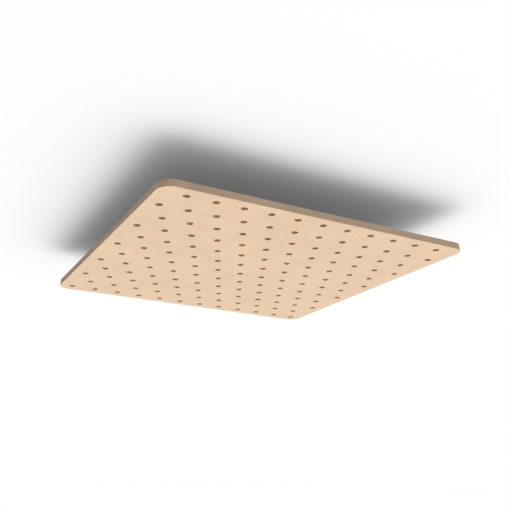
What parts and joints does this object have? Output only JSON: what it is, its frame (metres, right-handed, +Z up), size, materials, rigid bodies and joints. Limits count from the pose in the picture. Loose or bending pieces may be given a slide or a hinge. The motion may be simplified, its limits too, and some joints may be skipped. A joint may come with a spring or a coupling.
{
  "type": "perforated ceiling panel",
  "caption": "Square wood-fibre ceiling panel with rounded corners, staggered round sound holes and threaded inserts in its back for hangers.",
  "frame": {"origin": "centre of the four hanging points, on the back face of the board, which faces the ceiling", "axes": "X and Y along the sides, with a short row of perforations nearest the -Y side; +Z up, from the visible face to the ceiling"},
  "size_m": [0.6, 0.6, 0.012],
  "materials": {
    "wood_fibre_board": "matte",
    "insert_zinc_plate": "satin"
  },
  "bodies": {
    "root": {"board": "wood_fibre_board", "hanger_inserts": "insert_zinc_plate"}
  },
  "joints": []
}
